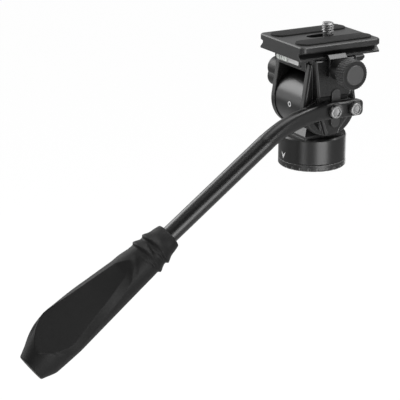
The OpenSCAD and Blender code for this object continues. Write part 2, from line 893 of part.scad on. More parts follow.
// The bend: a flat section that turns round along the arc.
module arm_bend() {
    steps = 20;
    points = 36;
    flat_power = 8;
    lead = 3;
    skin = 0.05;
    rings = [
        for (i = [-1:steps])
            let (
                share = max(i, 0) / steps,
                turn = handle_pitch * share,
                half_x = arm_t / 2 + (tube_r - arm_t / 2) * share - skin,
                half_z = arm_h / 2 + (tube_r - arm_h / 2) * share - skin,
                power = 2 + (flat_power - 2) * pow(1 - share, 2),
                y = -bend_start - bend_r * sin(turn) + (i < 0 ? lead : 0),
                z = tilt_z - bend_r * (1 - cos(turn))
            )
            [
                for (j = [0:points - 1])
                    let (p = power_point(half_x, half_z, power, (j + 0.5) * 360 / points))
                    [arm_x + p[0], y - p[1] * sin(turn), z + p[1] * cos(turn)]
            ]
    ];
    loft(rings);
}

// Places its children on the straight handle: Z runs down the tube, Y is its upper side.
module on_handle(distance) {
    translate([arm_x, bend_end_y, bend_end_z])
        rotate([90 + handle_pitch, 0, 0])
            translate([0, 0, distance]) children();
}

module handle_arm() {
    join = 0.5;
    recess_r = bolt_head_r + 0.4;
    color(satin_black)
        difference() {
            union() {
                hull() {
                    along_x(seat_x + arm_bevel, seat_x + arm_t - arm_bevel) arm_outline(0);
                    along_x(seat_x, seat_x + arm_t) arm_outline(arm_bevel);
                }
                arm_bend();
                on_handle(-join) cylinder(h = tube_l + join, r = tube_r);
            }
            on_handle(2) cylinder(h = tube_l, r = tube_bore_r);
            for (y = bolt_places) {
                bar_x(seat_x - 1, seat_x + arm_t + 1, y, tilt_z, bolt_r);
                bar_x(seat_x + arm_t - bolt_recess, seat_x + arm_t + 1, y, tilt_z, recess_r);
            }
        }
}

module handle_bolts() {
    socket_t = 1.6;
    head_bevel = 0.4;
    head_x = seat_x + arm_t - bolt_recess;
    head_top = seat_x + arm_t + bolt_proud;
    color(silver)
        for (y = bolt_places)
            difference() {
                union() {
                    bar_x(bolt_tip, head_x, y, tilt_z, bolt_r);
                    bar_x(head_x, head_top - head_bevel, y, tilt_z, bolt_head_r);
                    translate([head_top - head_bevel, y, tilt_z])
                        rotate([0, 90, 0])
                            cylinder(h = head_bevel, r1 = bolt_head_r, r2 = bolt_head_r - head_bevel);
                }
                translate([head_top - socket_t, y, tilt_z])
                    rotate([0, 90, 0]) cylinder(h = socket_t + 1, r = bolt_r, $fn = 6);
            }
}

// Half width of the grip at a distance from its front.
function grip_side(t) = lookup(t, [
    [0, grip_rim_r], [2, collar_r - 0.5], [6, collar_r], [ring_two + 3, neck_r],
    [swell_at, swell_half], [swell_at + 6, swell_half - 0.1],
    [grip_l - butt_taper, swell_half - 1.2], [grip_l, butt_r]
]);

// Height of the grip above the tube's middle.
function grip_top(t) = lookup(t, [
    [0, grip_rim_r], [2, collar_r - 0.5], [6, collar_r], [ring_two + 3, neck_r],
    [swell_at - 2, swell_top - 0.2], [swell_at + 2, swell_top], [swell_at + 5, swell_top - 1],
    [grip_l, butt_r]
]);

// Depth of the grip below the tube's middle.
function grip_low(t) = lookup(t, [
    [0, grip_rim_r], [2, collar_r - 0.5], [6, collar_r], [ring_two + 3, neck_r],
    [swell_at, swell_low], [grip_l - butt_taper, swell_low - 0.8], [grip_l, butt_r]
]);

// The collar's two raised rings.
function collar_rise(t) = ring_rise * (bump(t - ring_one) + bump(t - ring_two));

// A smooth bump, one high in the middle.
function bump(s) = exp(-pow(s / 1.5, 2));

// Distance of a place between the collar and the swell, given as a share of that length.
function fore_at(share) = ring_two + 3 + (swell_at - ring_two - 3) * share;

// Distance of a place between the swell and the butt, given as a share of that length.
function rear_at(share) = swell_at + (grip_l - swell_at) * share;

// Angle round the section at which a flat flank begins, from the section's widest line.
function flank_start(t) = lookup(t, [
    [fore_at(0.26), 27], [fore_at(0.5), 9], [swell_at, -17], [rear_at(0.15), -14],
    [rear_at(0.36), -1], [rear_at(0.5), 13], [rear_at(0.75), 44], [grip_l, 27]
]);

// Angle round the section at which a flat flank ends, beside the ridge.
function flank_end(t) = lookup(t, [
    [fore_at(0.26), 82], [fore_at(0.4), 86], [rear_at(0.36), 86], [rear_at(0.5), 78],
    [rear_at(0.75), 64], [grip_l, 82]
]);

// How flat the flanks are: 0 on the collar and at the butt, 1 along the swell.
function flatness(t) = lookup(t, [
    [fore_at(0.1), 0], [fore_at(0.24), 1], [rear_at(0.7), 1], [rear_at(0.9), 0]
]);

// A point of the grip's round section.
function egg_point(t, angle) = [
    (grip_side(t) + collar_rise(t)) * cos(angle),
    (grip_top(t) - grip_low(t)) / 2
        + ((grip_top(t) + grip_low(t)) / 2 + collar_rise(t)) * sin(angle)
];

// A point of a flank, between its arc and its chord.
function flank_point(t, share) =
    let (
        start = flank_start(t),
        end = flank_end(t),
        arc = egg_point(t, start + (end - start) * share),
        chord = egg_point(t, start) * (1 - share) + egg_point(t, end) * share
    )
    arc + (chord - arc) * flatness(t);

// The right half of the grip's section, from its lowest point to the ridge.
function half_section(t, under_steps = 10, flank_steps = 6) = concat(
    [for (i = [0:under_steps - 1]) egg_point(t, -90 + (flank_start(t) + 90) * i / under_steps)],
    [for (i = [0:flank_steps]) flank_point(t, i / flank_steps)]
);

module grip() {
    fore = [0, 1, 2, 4, 6];
    collar_step = 1.45;
    body_steps = 14;
    stations = concat(
        fore,
        [for (i = [0:7]) ring_one - collar_step + i * (ring_two - ring_one + 2 * collar_step) / 7],
        [for (i = [0:body_steps]) ring_two + 3 + (swell_at + 5 - ring_two - 3) * i / body_steps],
        [for (i = [1:4]) swell_at + 5 + (grip_l - butt_taper - swell_at - 5) * i / 4],
        [grip_l - butt_taper / 2, grip_l]
    );
    rings = [
        for (t = stations)
            let (
                half = half_section(t),
                last = len(half) - 1
            )
            concat(
                [for (p = half) [p[0], p[1], t]],
                [[0, grip_top(t) + collar_rise(t), t]],
                [for (i = [last:-1:1]) [-half[i][0], half[i][1], t]]
            )
    ];
    color(rubber_black)
        on_handle(tube_bare)
            difference() {
                loft(rings);
                translate([0, 0, -1]) cylinder(h = grip_l - tube_stop + 1, r = tube_r);
            }
}

// Spirit level

module level_vial() {
    color(glass) bar_x(vial_x, vial_x + vial_l, vial_y, vial_z, vial_r);
}

module level_plate() {
    proud = 0.4;
    color(pale_grey)
        translate([level_plate_x, -block_half - proud, vial_z - level_plate_h / 2])
            cube([level_plate_l, proud + level_sink, level_plate_h]);
}

// Clamp

module clamp_jaw() {
    color(dark_grey)
        difference() {
            along_y(clamp_y - jaw_l / 2, clamp_y + jaw_l / 2)
                hook_section([
                    [hook_x, hook_step], [jaw_x, hook_step],
                    [jaw_x, platform_top - jaw_drop], [jaw_out, platform_top - jaw_drop]
                ]);
            bar_x(jaw_x - 1, jaw_out + 1, clamp_y, clamp_z, clamp_screw_r);
            for (s = [-1, 1])
                bar_x(jaw_x - 1, jaw_pin_end, clamp_y + s * jaw_pin_side, jaw_pin_z, jaw_pin_r);
        }
}

module jaw_pins() {
    color(silver)
        for (s = [-1, 1])
            bar_x(jaw_pin_x, jaw_pin_end, clamp_y + s * jaw_pin_side, jaw_pin_z, jaw_pin_r);
}

module clamp_knob() {
    hub_r = 5.5;
    edge = 0.6;
    groove_r = 0.42;
    color(dark_grey)
        difference() {
            union() {
                bar_x(jaw_out + slide_clear, knob_x + 1, clamp_y, clamp_z, hub_r);
                bar_x(knob_x, knob_x + knob_l - edge, clamp_y, clamp_z, knob_r);
                translate([knob_x + knob_l - edge, clamp_y, clamp_z])
                    rotate([0, 90, 0]) cylinder(h = edge, r1 = knob_r, r2 = knob_r - edge);
            }
            for (i = [0:knob_ribs - 1])
                translate([0, clamp_y, clamp_z])
                    rotate([i * 360 / knob_ribs, 0, 0])
                        bar_x(knob_x - 1, knob_x + knob_l + 1, 0, knob_r, groove_r);
            bar_x(jaw_out, cap_x, clamp_y, clamp_z, clamp_screw_r);
            bar_x(cap_x, knob_x + knob_l + 1, clamp_y, clamp_z, knob_cap_r);
        }
}

module knob_cap() {
    proud = 0.5;
    edge = 0.3;
    edge_x = knob_x + knob_l + proud - edge;
    color(dark_grey) {
        bar_x(cap_x, edge_x, clamp_y, clamp_z, knob_cap_r);
        translate([edge_x, clamp_y, clamp_z])
            rotate([0, 90, 0]) cylinder(h = edge, r1 = knob_cap_r, r2 = knob_cap_r - edge);
    }
}

module clamp_screw() {
    color(silver) bar_x(clamp_screw_tip, cap_x, clamp_y, clamp_z, clamp_screw_r);
}

// Tilt lock

module brake_pad() {
    color(nylon) bar_x(-brake_back, -drum_half - slide_clear, 0, lock_z, brake_r);
}

module lock_knob() {
    hub_r = 4.4;
    hub_l = 0.8;
    face = 0.6;
    face_step = 0.4;
    color(dark_grey)
        translate([-lock_x, 0, lock_z])
            rotate([0, -90, 0])
                difference() {
                    union() {
                        cylinder(h = lock_l - face, r = hub_r);
                        translate([0, 0, hub_l])
                            linear_extrude(lock_l - hub_l - face) lock_outline(lobe_r);
                        translate([0, 0, lock_l - face])
                            linear_extrude(face) lock_outline(lobe_r - face_step);
                    }
                    translate([0, 0, -1]) cylinder(h = lock_l - lock_wall + 1, r = lock_stud_r);
                }
}

// A knob outline of broad round lobes that run into each other.
module lock_outline(lobe) {
    for (i = [0:lock_lobes - 1])
        rotate(i * 360 / lock_lobes)
            translate([lock_r - lobe_r, 0]) circle(lobe);
}

module lock_stud() {
    color(silver) bar_x(-lock_x - lock_l + lock_wall, -brake_back, 0, lock_z, lock_stud_r);
}

// Quick-release plate

module release_plate() {
    neck_half = dovetail_half - dovetail_cut;
    neck_z = hook_low + dovetail_cut;
    slab_join = slab_z + slab_bevel;
    color(dark_grey)
        difference() {
            union() {
                translate([0, plate_y, slab_z])
                    bevel_slab(plate_w, plate_l, slab_t, slab_corner, slab_bevel);
                along_y(plate_y - plate_l / 2, plate_y + plate_l / 2)
                    polygon([
                        [-dovetail_half, plate_z], [dovetail_half, plate_z],
                        [dovetail_half, hook_low], [neck_half, neck_z],
                        [neck_half, slab_join], [-neck_half, slab_join],
                        [-neck_half, neck_z], [-dovetail_half, hook_low]
                    ]);
            }
            translate([0, slot_mid, plate_z - 1])
                linear_extrude(slab_top - plate_z + 2) rotate(90) obround(slot_l, slot_w);
            translate([0, slot_mid, plate_z - 1])
                linear_extrude(pocket_t + 1) rotate(90) obround(slot_l + pocket_w - slot_w, pocket_w);
        }
}

module strip(side) {
    color(rubber_black)
        translate([side * strip_x, plate_y + strip_shift, slab_top])
            linear_extrude(strip_h) rotate(90) obround(strip_l, strip_w);
}

module strip_left() {
    strip(-1);
}

module strip_right() {
    strip(1);
}

module screw_washer() {
    color(silver)
        translate([0, screw_y, 0])
            ring_z(washer_z, washer_t, screw_head_r, screw_neck_r + run_clear);
}

module camera_screw() {
    head_top = washer_z - slide_clear;
    head_low = plate_z + free_clear;
    coin_slot_w = 1.2;
    coin_slot_t = 1;
    tip_bevel = 0.5;
    color(silver)
        translate([0, screw_y, 0])
            difference() {
                union() {
                    translate([0, 0, head_low]) cylinder(h = head_top - head_low, r = screw_head_r);
                    translate([0, 0, head_low]) cylinder(h = screw_top - 1 - head_low, r = screw_neck_r);
                    translate([0, 0, screw_top - screw_thread_l])
                        cylinder(h = screw_thread_l - tip_bevel, r = screw_r);
                    translate([0, 0, screw_top - tip_bevel])
                        cylinder(h = tip_bevel, r1 = screw_r, r2 = screw_r - tip_bevel);
                }
                translate([-screw_head_r - 1, -coin_slot_w / 2, head_low - 1])
                    cube([2 * screw_head_r + 2, coin_slot_w, coin_slot_t + 1]);
            }
}

base_ring();
pan_axle();
thread_insert();
pan_drag_plate();
pan_nut();
pan_housing();
pan_bush();
pan_drag_ring();
drum_cap_left();
drum_cap_right();
tilt_bush_left();
tilt_bush_right();
tilt_stator_left();
tilt_stator_right();
cheek_left();
cheek_right();
platform();
cradle_screws();
tilt_axle();
tilt_rotor();
axle_cap();
axle_cover();
handle_arm();
handle_bolts();
grip();
level_vial();
level_plate();
clamp_jaw();
jaw_pins();
clamp_knob();
knob_cap();
clamp_screw();
brake_pad();
lock_knob();
lock_stud();
release_plate();
strip_left();
strip_right();
screw_washer();
camera_screw();
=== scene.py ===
"""Looks of a fluid video head: finishes, grip, strips, screws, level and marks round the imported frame."""
import json
import math

import bpy
import numpy as np
from mathutils import Matrix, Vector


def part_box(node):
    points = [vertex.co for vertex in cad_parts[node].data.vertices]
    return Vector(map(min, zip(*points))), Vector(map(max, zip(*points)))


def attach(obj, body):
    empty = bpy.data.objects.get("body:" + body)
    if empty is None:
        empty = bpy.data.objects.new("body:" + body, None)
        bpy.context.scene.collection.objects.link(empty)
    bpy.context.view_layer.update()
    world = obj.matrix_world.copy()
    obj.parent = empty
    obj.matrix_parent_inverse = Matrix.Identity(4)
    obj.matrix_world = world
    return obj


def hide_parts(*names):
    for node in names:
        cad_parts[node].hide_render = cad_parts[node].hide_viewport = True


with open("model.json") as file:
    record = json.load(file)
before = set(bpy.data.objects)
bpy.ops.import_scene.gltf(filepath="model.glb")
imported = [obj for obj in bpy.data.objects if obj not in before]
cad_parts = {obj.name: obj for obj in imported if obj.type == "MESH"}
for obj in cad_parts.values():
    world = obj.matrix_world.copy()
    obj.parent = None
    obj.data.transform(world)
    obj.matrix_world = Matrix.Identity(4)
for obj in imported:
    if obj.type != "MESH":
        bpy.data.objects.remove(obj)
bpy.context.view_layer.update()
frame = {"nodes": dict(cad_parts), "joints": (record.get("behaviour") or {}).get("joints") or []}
nodes = frame["nodes"]
joints = {joint["name"]: joint for joint in frame["joints"]}
scene = bpy.context.scene
scene.view_settings.view_transform = "Standard"
MM = 0.001
FULL_TURN = 2.0 * math.pi
QUARTER_TURN = math.pi / 2.0


# Camera: the photograph's width and focal length in pixels, and its place in metres

PHOTO_WIDTH = 400
PHOTO_FOCAL = 1600
SENSOR_WIDTH = 36.0
CAMERA_PLACE = (0.67046, -0.44477, 0.24680)
CAMERA_AZIMUTH = math.radians(-29.3866)
CAMERA_RISE = math.radians(18.4462)
CAMERA_CLIP = (0.01, 50.0)


def facing(place, away):
    """A matrix at a place, with its z axis along a direction and its x axis level."""
    away = np.array(away) / np.linalg.norm(away)
    side = np.cross((0.0, 0.0, 1.0), away)
    side = side / np.linalg.norm(side)
    rise = np.cross(away, side)
    return Matrix([[side[i], rise[i], away[i], place[i]] for i in range(3)] + [[0, 0, 0, 1]])


def place_camera():
    """The photograph's view, with no roll and no shift."""
    data = bpy.data.cameras.new("photo_camera")
    data.sensor_width = SENSOR_WIDTH
    data.lens = SENSOR_WIDTH * PHOTO_FOCAL / PHOTO_WIDTH
    data.clip_start, data.clip_end = CAMERA_CLIP
    camera = bpy.data.objects.new("photo_camera", data)
    scene.collection.objects.link(camera)
    level = math.cos(CAMERA_RISE)
    away = (level * math.cos(CAMERA_AZIMUTH), level * math.sin(CAMERA_AZIMUTH), math.sin(CAMERA_RISE))
    camera.matrix_world = facing(CAMERA_PLACE, away)
    scene.camera = camera


place_camera()


# Shader groups

BEVEL_SAMPLES = 16
EDGE_GAIN = 6.0
NOISE_MEAN = 0.5
BUMP_DEPTH = 0.00004


def new_group(name, inputs, outputs):
    """A shader node group with named sockets; returns the group, its input node and its output node."""
    group = bpy.data.node_groups.new(name, "ShaderNodeTree")
    for label, value in inputs:
        socket = group.interface.new_socket(label, in_out="INPUT", socket_type="NodeSocketFloat")
        socket.default_value = value
    for label, kind in outputs:
        group.interface.new_socket(label, in_out="OUTPUT", socket_type=kind)
    return group, group.nodes.new("NodeGroupInput"), group.nodes.new("NodeGroupOutput")


def math_node(tree, operation, a, b, clamp=False):
    """A Math node whose inputs are sockets or plain numbers; returns its result."""
    node = tree.nodes.new("ShaderNodeMath")
    node.operation = operation
    node.use_clamp = clamp
    for socket, value in zip(node.inputs, (a, b)):
        if isinstance(value, (int, float)):
            socket.default_value = value
        else:
            tree.links.new(value, socket)
    return node.outputs[0]


def dot_node(tree, a, b):
    """The dot product of a socket's vector and a second one, a socket or a plain direction."""
    node = tree.nodes.new("ShaderNodeVectorMath")
    node.operation = "DOT_PRODUCT"
    tree.links.new(a, node.inputs[0])
    if isinstance(b, tuple):
        node.inputs[1].default_value = b
    else:
        tree.links.new(b, node.inputs[1])
    return node.outputs["Value"]


def soft_edge_group():
    """Rounds edges in the shading, and marks them: one less the dot of the rounded and the true normal."""
    group, enter, leave = new_group(
        "soft_edge",
        [("Radius", 0.0004)],
        [("Normal", "NodeSocketVector"), ("Edge", "NodeSocketFloat")],
    )
    bevel = group.nodes.new("ShaderNodeBevel")
    bevel.samples = BEVEL_SAMPLES
    surface = group.nodes.new("ShaderNodeNewGeometry")
    group.links.new(enter.outputs["Radius"], bevel.inputs["Radius"])
    alike = dot_node(group, bevel.outputs["Normal"], surface.outputs["True Normal"])
    apart = math_node(group, "SUBTRACT", 1.0, alike, clamp=True)
    group.links.new(math_node(group, "MULTIPLY", apart, EDGE_GAIN, clamp=True), leave.inputs["Edge"])
    group.links.new(bevel.outputs["Normal"], leave.inputs["Normal"])
    return group


def grain_group():
    """Three noises: a fine height for bumps, a slow tone for colour and a fine speck for roughness."""
    noises = (("Height", "Scale", 3.0), ("Tone", "Cloud Scale", 4.0), ("Speck", "Scale", 1.0))
    group, enter, leave = new_group(
        "fine_grain",
        [("Scale", 2500.0), ("Cloud Scale", 60.0)],
        [(label, "NodeSocketFloat") for label, _, _ in noises],
    )
    place = group.nodes.new("ShaderNodeTexCoord")
    for label, scale, detail in noises:
        noise = group.nodes.new("ShaderNodeTexNoise")
        noise.inputs["Detail"].default_value = detail
        group.links.new(place.outputs["Object"], noise.inputs["Vector"])
        group.links.new(enter.outputs[scale], noise.inputs["Scale"])
        group.links.new(noise.outputs["Fac"], leave.inputs[label])
    return group


SOFT_EDGE = soft_edge_group()
FINE_GRAIN = grain_group()


# Finishes

def new_material(name):
    """A material with nodes; returns it, its node tree and its Principled shader."""
    material = bpy.data.materials.new(name)
    material.use_nodes = True
    return material, material.node_tree, material.node_tree.nodes["Principled BSDF"]


def use_group(tree, group, label, value):
    """A shader group placed in a material, with one of its inputs set."""
    node = tree.nodes.new("ShaderNodeGroup")
    node.node_tree = group
    node.inputs[label].default_value = value
    return node


def mix_colours(tree, factor, first, second):
    """A colour between a first one, which is a socket or a plain colour, and a second, plain one."""
    node = tree.nodes.new("ShaderNodeMix")
    node.data_type = "RGBA"
    node.inputs["B"].default_value = second
    if isinstance(first, tuple):
        node.inputs["A"].default_value = first
    else:
        tree.links.new(first, node.inputs["A"])
    tree.links.new(factor, node.inputs["Factor"])
    return node.outputs["Result"]


def grey(value, painted_highlight_tint=(1.0, 1.0, 1.0)):
    """A screen grey from 0 to 255 as a linear colour, with a slight tint."""
    s = value / 255.0
    linear = s / 12.92 if s <= 0.04045 else ((s + 0.055) / 1.055) ** 2.4
    return tuple(linear * t for t in painted_highlight_tint) + (1.0,)


def toned(colour, gain):
    """A colour made lighter or darker by a gain."""
    return tuple(part * gain for part in colour[:3]) + (1.0,)


def finish(name, base, worn_and_lit, wear_and_light=0.5, rough=0.45, rough_spread=0.12, metal=0.0, specular=0.5,
           grain=2500.0, bump=0.15, edge=0.0004, tone=0.25):
    """A moulded, painted or turned surface: a slow tone, lighter edges, and grain in bump and roughness;
    the lighter edges are worn paint, and on the base ring also painted highlight.
    """
    material, tree, shader = new_material(name)
    links = tree.links
    shader.inputs["Metallic"].default_value = metal
    shader.inputs["Specular IOR Level"].default_value = specular
    grains = use_group(tree, FINE_GRAIN, "Scale", grain)
    edges = use_group(tree, SOFT_EDGE, "Radius", edge)
    shade = mix_colours(tree, grains.outputs["Tone"], toned(base, 1.0 - tone), toned(base, 1.0 + tone))
    # Lighter edges from the edge mask and the slow tone: worn paint, and on the base ring also painted
    # highlight.
    patch = math_node(tree, "MULTIPLY", edges.outputs["Edge"], grains.outputs["Tone"])
    rubbed_and_lit = math_node(tree, "MULTIPLY", patch, wear_and_light / NOISE_MEAN, clamp=True)
    links.new(mix_colours(tree, rubbed_and_lit, shade, worn_and_lit), shader.inputs["Base Color"])
    speck = math_node(tree, "SUBTRACT", grains.outputs["Speck"], NOISE_MEAN)
    spread = math_node(tree, "MULTIPLY", speck, rough_spread / NOISE_MEAN)
    links.new(math_node(tree, "ADD", spread, rough, clamp=True), shader.inputs["Roughness"])
    relief = tree.nodes.new("ShaderNodeBump")
    relief.inputs["Strength"].default_value = bump
    relief.inputs["Distance"].default_value = BUMP_DEPTH
    links.new(grains.outputs["Height"], relief.inputs["Height"])
    links.new(edges.outputs["Normal"], relief.inputs["Normal"])
    links.new(relief.outputs["Normal"], shader.inputs["Normal"])
    return material


def vial_glass():
    """Slightly green glass with a slow change of tint, its colour lightened to near white as a painted
    highlight.
    """
    material, tree, shader = new_material("vial_glass")
    shader.inputs["Roughness"].default_value = 0.08
    shader.inputs["Transmission Weight"].default_value = 0.1
    shader.inputs["IOR"].default_value = 1.45
    grains = use_group(tree, FINE_GRAIN, "Scale", 300.0)
    # The near-white colours are painted highlight on the glass; only their slight green is the fluid's.
    painted_highlight_tint = mix_colours(tree, grains.outputs["Tone"], (0.88, 0.93, 0.88, 1.0), (0.95, 0.98, 0.94, 1.0))
    tree.links.new(painted_highlight_tint, shader.inputs["Base Color"])
    return material


BODY_PAINT = finish("body_paint", grey(28), grey(96), wear_and_light=0.6, rough=0.3, specular=0.4, edge=0.0006)
# Base ring: its light edge colour and high share make the notch edges much lighter, a painted highlight as
# well as wear.
RING_PAINT_AND_EDGE_HIGHLIGHT = finish("ring_paint_and_edge_highlight", grey(34), grey(140), wear_and_light=0.8, rough=0.32, specular=0.45, edge=0.0005)
DRUM_PAINT = finish("drum_paint", grey(20), grey(60), wear_and_light=0.25, rough=0.31, rough_spread=0.06)
ARM_PAINT = finish("arm_paint", grey(10), grey(46), wear_and_light=0.15, rough=0.28, rough_spread=0.01,
                   specular=0.57, edge=0.0032, bump=0.01)
PLATE_ANODISED = finish("plate_anodised", grey(22), grey(110), wear_and_light=0.6, rough=0.4, grain=3200.0)
JAW_ANODISED = finish("jaw_anodised", grey(16), grey(110), wear_and_light=0.5, rough=0.28)
KNOB_PLASTIC = finish("knob_plastic", grey(13), grey(110), wear_and_light=0.55, rough=0.44, specular=0.36,
                      bump=0.25)
CAP_PLASTIC = finish("cap_plastic", grey(64), grey(90), wear_and_light=0.25, rough=0.4)
COVER_PLASTIC = finish("cover_plastic", grey(42), grey(80), wear_and_light=0.25, rough=0.42)
GRIP_RUBBER = finish("grip_rubber", grey(14), grey(40), wear_and_light=0.15, rough=0.55, specular=0.25,
                     grain=1800.0, bump=0.3, edge=0.0006)
STRIP_RUBBER = finish("strip_rubber", grey(14), grey(44), wear_and_light=0.2, rough=0.7, specular=0.3,
                      grain=1500.0, bump=0.6)
BRIGHT_STEEL = finish("bright_steel", grey(144), grey(215), wear_and_light=0.3, rough=0.42, metal=1.0, tone=0.06,
                      bump=0.08)
AXLE_STEEL = finish("axle_steel", grey(170), grey(215), wear_and_light=0.3, rough=0.3, metal=1.0, tone=0.08)
BEARING_BRASS = finish("bearing_brass", grey(185, (1.0, 0.75, 0.4)), grey(225, (1.0, 0.8, 0.5)),
                       rough=0.32, metal=1.0, tone=0.1)
DRAG_NYLON = finish("drag_nylon", grey(222, (1.0, 0.98, 0.92)), grey(235), rough=0.5, tone=0.06)
LEVEL_METAL = finish("level_metal", grey(244), grey(248), rough=0.4, tone=0.05)
MARK_BLACK = finish("mark_black", grey(20), grey(60), wear_and_light=0.1, rough=0.5)
# White for printed marks, and for the vial's bubble, where it is a painted highlight.
WHITE_PRINT_AND_HIGHLIGHT = finish("white_print_and_highlight", grey(225), grey(200), wear_and_light=0.3, rough=0.55, tone=0.05)
VIAL_GLASS = vial_glass()

FINISHES = {
    RING_PAINT_AND_EDGE_HIGHLIGHT: ["base_ring"],
    BODY_PAINT: ["drum_cap_left", "drum_cap_right", "cheek_left", "cheek_right", "platform"],
    COVER_PLASTIC: ["axle_cap", "axle_cover"],
    DRUM_PAINT: ["pan_housing"],
    ARM_PAINT: ["handle_arm"],
    PLATE_ANODISED: ["release_plate"],
    JAW_ANODISED: ["clamp_jaw"],
    KNOB_PLASTIC: ["clamp_knob", "lock_knob"],
    CAP_PLASTIC: ["knob_cap"],
    GRIP_RUBBER: ["grip"],
    STRIP_RUBBER: ["strip_left", "strip_right"],
    BRIGHT_STEEL: ["handle_bolts", "camera_screw", "screw_washer", "cradle_screws"],
    AXLE_STEEL: ["pan_axle", "pan_nut", "pan_drag_plate", "tilt_axle", "tilt_rotor", "jaw_pins",
                 "clamp_screw", "lock_stud"],
    BEARING_BRASS: ["thread_insert", "pan_bush", "tilt_bush_left", "tilt_bush_right"],
    DRAG_NYLON: ["pan_drag_ring", "tilt_stator_left", "tilt_stator_right", "brake_pad"],
    VIAL_GLASS: ["level_vial"],
    LEVEL_METAL: ["level_plate"],
}
for coat, labels in FINISHES.items():
    for label in labels:
        nodes[label].data.materials.clear()
        nodes[label].data.materials.append(coat)


# Made surfaces, in millimetres

EDGE_ROWS = 7
EASE_READINGS = 9


def sheet(name, points, faces, coat, body, sharp=40.0):
    """A mesh of points and faces, finished, smooth up to an angle and riding on a body."""
    mesh = bpy.data.meshes.new(name)
    mesh.from_pydata((np.asarray(points) * MM).tolist(), [], faces)
    mesh.polygons.foreach_set("use_smooth", np.ones(len(mesh.polygons), dtype=bool))
    mesh.set_sharp_from_angle(angle=math.radians(sharp))
    mesh.materials.append(coat)
    piece = bpy.data.objects.new(name, mesh)
    scene.collection.objects.link(piece)
    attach(piece, body)
    return piece


def grid_faces(rows, columns, closed):
    """Quads that join each point to the next column and the next row; a closed grid goes all round."""
    steps = columns if closed else columns - 1
    row, column = np.meshgrid(np.arange(rows - 1), np.arange(steps), indexing="ij")
    here = row * columns + column
    beside = row * columns + (column + 1) % columns
    quads = np.stack([here, beside, beside + columns, here + columns], axis=-1)
    return quads.reshape(-1, 4).tolist()


def skin(name, grid, coat, body, ends=(True, True), sharp=40.0):
    """A tube from a grid of points, rows along it and columns round it; a closed end is a fan of faces."""
    rows, columns = grid.shape[:2]
    points = grid.reshape(-1, 3)
    faces = grid_faces(rows, columns, closed=True)
    ring = np.arange(columns)
    for first, wanted in ((0, ends[0]), ((rows - 1) * columns, ends[1])):
        if wanted:
            middle = points[first:first + columns].mean(axis=0)
            hub = np.full(columns, len(points))
            fan = np.stack([first + (ring + 1) % columns, first + ring, hub], axis=-1)
            faces += (fan if first == 0 else fan[:, ::-1]).tolist()
            points = np.vstack([points, middle])
    return sheet(name, points, faces, coat, body, sharp)


def on_grid(x, y, z):
    """A grid of points from coordinates that are spread over each other."""
    return np.stack(np.broadcast_arrays(x, y, z), axis=-1)


def round_angles(count, turn=FULL_TURN):
    """A row of angles round a circle; a negative turn goes the other way."""
    return np.linspace(0.0, turn, count, endpoint=False)[None, :]


def shares(count, endpoint=False):
    """A row of shares from nought to one."""
    return np.linspace(0.0, 1.0, count, endpoint=endpoint)[None, :]


def quarter_round(size):
    """A rounded edge from its side to its top: how far it comes in, and how far it lies below the top."""
    rise = np.linspace(0.0, QUARTER_TURN, EDGE_ROWS)
    return size * (1.0 - np.cos(rise)), size * (1.0 - np.sin(rise))


def node_box(node):
    """A CAD node's lowest corner, highest corner and middle."""
    low, high = (np.array(corner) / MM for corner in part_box(node))
    return low, high, (low + high) / 2.0


def through(at, knots):
    """A line through knots of a place and a value, straight between them."""
    places, values = np.array(knots).T
    return np.interp(at, places, values)


def eased(at, knots, width=1.6):
    """A line through knots with rounded corners, as a column: the mean of readings spread over a width."""
    spread = np.linspace(-width, width, EASE_READINGS)
    return through(at[:, None] + spread, knots).mean(axis=1, keepdims=True)


def bell(ratio, power=2):
    """A bump that is one at nought and fades as the exponential of a power of the ratio."""
    return np.exp(-np.abs(ratio) ** power)


# Grip: where the handle's straight tube starts, then knots of a place along the grip and a reach

HANDLE_PITCH = math.radians(35.6)
HANDLE_START = (22.7, -42.33, 22.79)
GRIP_START = 67.6
GRIP_LENGTH = 92.7
GRIP_FORE = [(0.0, 6.6), (2.0, 7.3), (6.0, 7.8), (17.7, 9.1)]
GRIP_BUTT = [(GRIP_LENGTH, 7.3)]
GRIP_SIDE = GRIP_FORE + [(69.7, 10.5), (75.7, 10.4), (85.4, 9.3)] + GRIP_BUTT
GRIP_TOP = GRIP_FORE + [(67.7, 17.5), (71.7, 17.7), (74.7, 16.7)] + GRIP_BUTT
GRIP_LOW = GRIP_FORE + [(69.7, 11.4), (85.4, 10.6)] + GRIP_BUTT
FORE_RIM = [(0.0, -0.6), (0.2, -0.2), (0.6, 0.0)]
BUTT_RIM = [(GRIP_LENGTH - 0.4, -0.1), (GRIP_LENGTH - 0.1, -0.35), (GRIP_LENGTH, -0.6)]
COLLAR_RUN = (1.1, 19.0)
FLANK_RUN = (19.4, GRIP_LENGTH - 0.9)
COLLAR_ROWS = 130
FLANK_ROWS = 170
BELLY_STEPS = 34
BAND_STEPS = 12
FLANK_STEPS = 36
RIDGE_STEPS = 9

# Grip's flank: knots of its borders and the band below it in degrees, its plane, and where that holds

FLANK_LOW = [(22.0, 50.0), (26.0, 42.0), (31.2, 27.0), (43.7, 9.0), (69.7, -17.0), (73.1, -14.0),
             (78.0, -1.0), (81.2, 13.0), (86.9, 48.0)]
FLANK_HIGH = [(22.0, 54.0), (24.0, 62.0), (29.4, 79.0), (38.5, 81.5), (60.0, 84.5), (78.0, 86.0),
              (81.2, 78.0), (86.9, 54.0)]
BAND_TURN = [(20.0, 0.5), (30.0, 26.0), (74.0, 26.0), (84.0, 1.0)]
FLANK_EASE = 0.8
FLANK_OUT = 10.16
FLANK_LEAN = -0.598
FLANK_SPLAY = 0.0071
FLANK_SLIDE = (0.84, 0.54)
LOW_FADE = [(22.0, 0.0), (25.0, 1.0), (84.0, 1.0), (87.0, 0.0)]
HIGH_FADE = [(22.0, 0.0), (45.0, 0.25), (60.0, 1.0), (84.0, 1.0), (87.0, 0.0)]

# Grip's collar: a sway is what a full wave round the section adds, and a slant is in millimetres a degree

